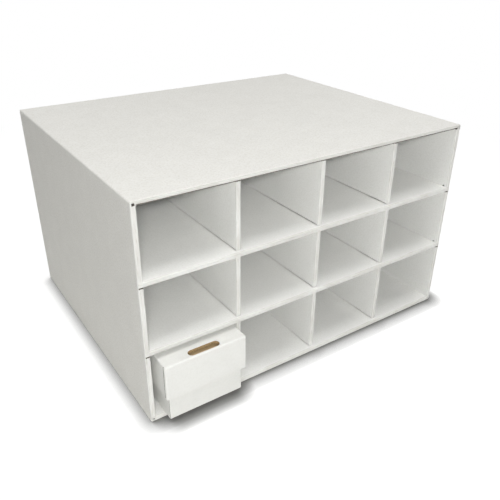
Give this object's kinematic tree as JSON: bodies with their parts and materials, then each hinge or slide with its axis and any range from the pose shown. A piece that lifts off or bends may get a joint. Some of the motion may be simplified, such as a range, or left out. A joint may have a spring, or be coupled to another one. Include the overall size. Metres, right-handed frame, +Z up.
{
  "type": "trading card storage box",
  "caption": "Open-fronted cabinet of folded white corrugated board, divided into a grid of compartments, with a lidded drawer box for cards that slides out of one of them.",
  "frame": {"origin": "middle of the cabinet's foot, on the surface it stands on; the drawer that stands out of the front is left out of the middle", "axes": "+Z up, +X to the right seen from the front, the open front towards -Y"},
  "size_m": [0.472, 0.404, 0.2766],
  "materials": {
    "case_board": "matt white clay-coated liner",
    "partition_board": "matt white clay-coated liner",
    "tray_board": "matt white outside, brown kraft inside",
    "lid_board": "matt white outside, brown kraft inside"
  },
  "bodies": {
    "cabinet": {"case_back_wall": "case_board", "case_left_wall": "case_board", "case_right_wall": "case_board", "case_bottom_wall": "case_board", "case_top_wall": "case_board", "lower_shelf": "partition_board", "upper_shelf": "partition_board", "left_divider": "partition_board", "middle_divider": "partition_board", "right_divider": "partition_board"},
    "drawer_tray": {"tray_floor": "tray_board", "tray_left_side": "tray_board", "tray_right_side": "tray_board", "tray_front": "tray_board", "tray_back": "tray_board"},
    "drawer_lid": {"lid_top": "lid_board", "lid_left_skirt": "lid_board", "lid_right_skirt": "lid_board", "lid_front_flap": "lid_board", "lid_back_flap": "lid_board"}
  },
  "joints": [
    {"name": "drawer_slide", "type": "slide", "parent": "cabinet", "child": "drawer_tray", "axis": [0, -1, 0], "range_m": [0, 0.37]},
    {"name": "lid_lift", "type": "slide", "parent": "drawer_tray", "child": "drawer_lid", "axis": [0, 0, 1], "range_m": [0, 0.0065]}
  ]
}
